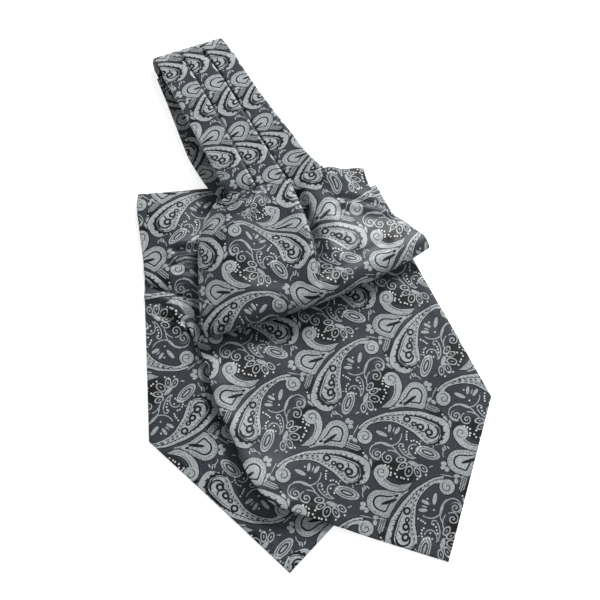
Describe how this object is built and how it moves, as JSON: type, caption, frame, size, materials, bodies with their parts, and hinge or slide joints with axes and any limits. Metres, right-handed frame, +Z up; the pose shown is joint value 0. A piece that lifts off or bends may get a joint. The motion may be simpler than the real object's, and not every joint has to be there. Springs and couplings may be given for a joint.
{
  "type": "silk cravat",
  "caption": "Silk cravat with wide pointed blades and a narrow pleated neckband, laid folded flat, in a slate and silver paisley jacquard.",
  "frame": {"origin": "middle of the box round the folded cravat, on the surface it lies on", "axes": "+Z up from the surface, +Y from the blades' points to the neckband's top fold, +X to the right of one who faces the points' end"},
  "size_m": [0.2192, 0.3522, 0.0281],
  "materials": {
    "front_blade_end": "silk jacquard, soft sheen",
    "front_blade_turn": "silk jacquard, soft sheen",
    "front_blade_top": "silk jacquard, soft sheen",
    "folded_layers": "silk jacquard, soft sheen",
    "back_blade_end": "silk jacquard, soft sheen",
    "back_blade_turn": "silk jacquard, soft sheen",
    "band_pleat_left": "silk jacquard, soft sheen",
    "band_pleat_middle": "silk jacquard, soft sheen",
    "band_pleat_right": "silk jacquard, soft sheen",
    "band_turn": "silk jacquard, soft sheen",
    "band_back": "silk jacquard, soft sheen"
  },
  "bodies": {
    "root": {"front_blade_end": "front_blade_end", "front_blade_turn": "front_blade_turn", "front_blade_top": "front_blade_top", "folded_layers": "folded_layers", "back_blade_end": "back_blade_end", "back_blade_turn": "back_blade_turn", "band_pleat_left": "band_pleat_left", "band_pleat_middle": "band_pleat_middle", "band_pleat_right": "band_pleat_right", "band_turn": "band_turn", "band_back": "band_back"}
  },
  "joints": []
}
